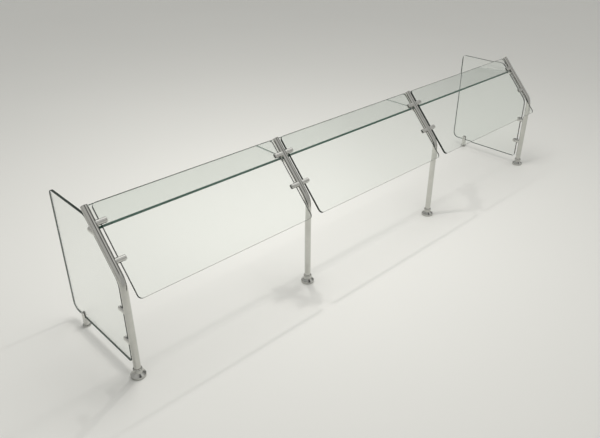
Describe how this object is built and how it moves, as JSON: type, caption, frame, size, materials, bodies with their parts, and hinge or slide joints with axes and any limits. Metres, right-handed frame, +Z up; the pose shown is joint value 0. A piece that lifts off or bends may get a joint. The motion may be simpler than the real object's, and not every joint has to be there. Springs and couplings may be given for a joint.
{
  "type": "glass food guard",
  "caption": "Row of leaning glass panes and level shelf glass held by slotted round clamps on bent tube posts, with upright end panes, guarding a serving counter.",
  "frame": {"origin": "on the counter, under the middle of the overall box", "axes": "+X along the row of posts, +Y from the customers towards the staff, +Z up"},
  "size_m": [2.5944, 0.5039, 0.5991],
  "materials": {
    "post_steel": "satin, ground along the tube",
    "cover_steel": "polished",
    "clamp_steel": "satin turned",
    "plate_steel": "as machined",
    "stud_steel": "zinc-bright",
    "screw_steel": "bright",
    "gasket": "translucent soft vinyl",
    "pane_glass": "clear, polished edges",
    "shelf_glass": "clear, thick, polished edges"
  },
  "bodies": {
    "frame": {"post_1": "post_steel", "post_cap_1": "post_steel", "base_plate_1": "plate_steel", "pane_clamp_1_right_lower": "clamp_steel", "pane_clamp_1_right_upper": "clamp_steel", "shelf_clamp_1": "clamp_steel", "end_clamp_1_low": "clamp_steel", "end_clamp_1_high": "clamp_steel", "foot_clamp_1": "clamp_steel", "foot_base_1": "clamp_steel", "post_2": "post_steel", "post_cap_2": "post_steel", "base_plate_2": "plate_steel", "pane_clamp_2_left_lower": "clamp_steel", "pane_clamp_2_left_upper": "clamp_steel", "pane_clamp_2_right_lower": "clamp_steel", "pane_clamp_2_right_upper": "clamp_steel", "shelf_clamp_2": "clamp_steel", "post_3": "post_steel", "post_cap_3": "post_steel", "base_plate_3": "plate_steel", "pane_clamp_3_left_lower": "clamp_steel", "pane_clamp_3_left_upper": "clamp_steel", "pane_clamp_3_right_lower": "clamp_steel", "pane_clamp_3_right_upper": "clamp_steel", "shelf_clamp_3": "clamp_steel", "post_4": "post_steel", "post_cap_4": "post_steel", "base_plate_4": "plate_steel", "pane_clamp_4_left_lower": "clamp_steel", "pane_clamp_4_left_upper": "clamp_steel", "shelf_clamp_4": "clamp_steel", "end_clamp_4_low": "clamp_steel", "end_clamp_4_high": "clamp_steel", "foot_clamp_4": "clamp_steel", "foot_base_4": "clamp_steel", "pane_clamp_studs": "stud_steel", "rear_clamp_studs": "stud_steel", "pane_clamp_screws": "screw_steel", "rear_clamp_screws": "screw_steel", "pane_clamp_gaskets": "gasket", "shelf_gaskets": "gasket", "end_pane_gaskets": "gasket"},
    "front_pane_1_body": {"front_pane_1": "pane_glass"},
    "front_pane_2_body": {"front_pane_2": "pane_glass"},
    "front_pane_3_body": {"front_pane_3": "pane_glass"},
    "shelf_pane_1_body": {"shelf_pane_1": "shelf_glass"},
    "shelf_pane_2_body": {"shelf_pane_2": "shelf_glass"},
    "shelf_pane_3_body": {"shelf_pane_3": "shelf_glass"},
    "end_pane_left_body": {"end_pane_left": "pane_glass"},
    "end_pane_right_body": {"end_pane_right": "pane_glass"},
    "base_cover_1_body": {"base_cover_1": "cover_steel"},
    "base_cover_2_body": {"base_cover_2": "cover_steel"},
    "base_cover_3_body": {"base_cover_3": "cover_steel"},
    "base_cover_4_body": {"base_cover_4": "cover_steel"}
  },
  "joints": [
    {"name": "front_pane_1_lift", "type": "slide", "parent": "frame", "child": "front_pane_1_body", "axis": [0, 0.682, 0.7314], "range_m": [0, 0.3]},
    {"name": "front_pane_2_lift", "type": "slide", "parent": "frame", "child": "front_pane_2_body", "axis": [0, 0.682, 0.7314], "range_m": [0, 0.3]},
    {"name": "front_pane_3_lift", "type": "slide", "parent": "frame", "child": "front_pane_3_body", "axis": [0, 0.682, 0.7314], "range_m": [0, 0.3]},
    {"name": "shelf_pane_1_draw", "type": "slide", "parent": "frame", "child": "shelf_pane_1_body", "axis": [0, 1, 0], "range_m": [0, 0.05]},
    {"name": "shelf_pane_2_draw", "type": "slide", "parent": "frame", "child": "shelf_pane_2_body", "axis": [0, 1, 0], "range_m": [0, 0.05]},
    {"name": "shelf_pane_3_draw", "type": "slide", "parent": "frame", "child": "shelf_pane_3_body", "axis": [0, 1, 0], "range_m": [0, 0.05]},
    {"name": "end_pane_left_draw", "type": "slide", "parent": "frame", "child": "end_pane_left_body", "axis": [0, 1, 0], "range_m": [0, 0.05]},
    {"name": "end_pane_right_draw", "type": "slide", "parent": "frame", "child": "end_pane_right_body", "axis": [0, 1, 0], "range_m": [0, 0.05]},
    {"name": "base_cover_1_lift", "type": "slide", "parent": "frame", "child": "base_cover_1_body", "axis": [0, 0, 1], "range_m": [0, 0.03]},
    {"name": "base_cover_2_lift", "type": "slide", "parent": "frame", "child": "base_cover_2_body", "axis": [0, 0, 1], "range_m": [0, 0.03]},
    {"name": "base_cover_3_lift", "type": "slide", "parent": "frame", "child": "base_cover_3_body", "axis": [0, 0, 1], "range_m": [0, 0.03]},
    {"name": "base_cover_4_lift", "type": "slide", "parent": "frame", "child": "base_cover_4_body", "axis": [0, 0, 1], "range_m": [0, 0.03]}
  ]
}
